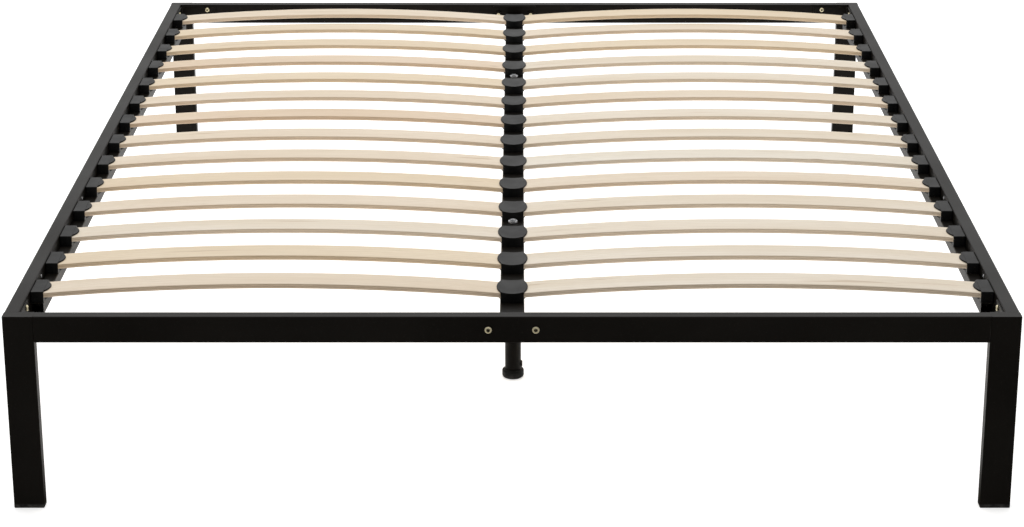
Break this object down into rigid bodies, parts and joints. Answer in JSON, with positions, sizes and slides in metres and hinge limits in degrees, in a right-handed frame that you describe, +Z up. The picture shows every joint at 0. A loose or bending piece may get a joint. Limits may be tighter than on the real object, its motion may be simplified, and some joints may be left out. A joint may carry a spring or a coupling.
{
  "type": "metal bed frame",
  "caption": "Low steel platform bed frame with bowed wooden slats in two columns, plastic slat holders, a centre beam and centre support legs.",
  "frame": {"origin": "on the floor, under the middle of the frame", "axes": "+X to the right, +Y from the foot end (front) to the head end (rear), +Z up"},
  "size_m": [1.524, 2.0368, 0.3219],
  "materials": {
    "frame_steel": "black powder coat, satin with a fine texture",
    "slat_wood": "pale birch laminate, thin matt lacquer",
    "holder_plastic": "black moulded plastic, matt",
    "foot_plastic": "black moulded plastic, slightly worn",
    "bright_zinc": "bright zinc plate",
    "black_bolt": "black oxide",
    "yellow_zinc": "yellow passivated zinc plate"
  },
  "bodies": {
    "frame": {"beam_end_bolts": "yellow_zinc", "beam_end_nuts": "frame_steel", "beam_end_plates": "frame_steel", "centre_beam": "frame_steel", "centre_holders": "holder_plastic", "centre_leg_bolts": "bright_zinc", "centre_leg_nuts": "bright_zinc", "centre_leg_plates": "frame_steel", "centre_leg_tube_front": "frame_steel", "centre_leg_tube_rear": "frame_steel", "corner_bolts": "yellow_zinc", "corner_brackets": "frame_steel", "foot_lock_bolts": "black_bolt", "front_left_leg": "frame_steel", "front_rail": "frame_steel", "front_right_leg": "frame_steel", "leg_caps": "foot_plastic", "rail_rivets": "bright_zinc", "rear_left_leg": "frame_steel", "rear_rail": "frame_steel", "rear_right_leg": "frame_steel", "side_holders_left": "holder_plastic", "side_holders_right": "holder_plastic", "side_rail_left": "frame_steel", "side_rail_right": "frame_steel", "slat_ledge_left": "frame_steel", "slat_ledge_right": "frame_steel", "slat_left_01": "slat_wood", "slat_left_02": "slat_wood", "slat_left_03": "slat_wood", "slat_left_04": "slat_wood", "slat_left_05": "slat_wood", "slat_left_06": "slat_wood", "slat_left_07": "slat_wood", "slat_left_08": "slat_wood", "slat_left_09": "slat_wood", "slat_left_10": "slat_wood", "slat_left_11": "slat_wood", "slat_left_12": "slat_wood", "slat_left_13": "slat_wood", "slat_left_14": "slat_wood", "slat_right_01": "slat_wood", "slat_right_02": "slat_wood", "slat_right_03": "slat_wood", "slat_right_04": "slat_wood", "slat_right_05": "slat_wood", "slat_right_06": "slat_wood", "slat_right_07": "slat_wood", "slat_right_08": "slat_wood", "slat_right_09": "slat_wood", "slat_right_10": "slat_wood", "slat_right_11": "slat_wood", "slat_right_12": "slat_wood", "slat_right_13": "slat_wood", "slat_right_14": "slat_wood"},
    "front_foot": {"centre_foot_pad_front": "foot_plastic", "centre_foot_stem_front": "bright_zinc"},
    "rear_foot": {"centre_foot_pad_rear": "foot_plastic", "centre_foot_stem_rear": "bright_zinc"}
  },
  "joints": [
    {"name": "front_foot_slide", "type": "slide", "parent": "frame", "child": "front_foot", "axis": [0, 0, -1], "range_m": [0, 0.02]},
    {"name": "rear_foot_slide", "type": "slide", "parent": "frame", "child": "rear_foot", "axis": [0, 0, -1], "range_m": [0, 0.02]}
  ]
}
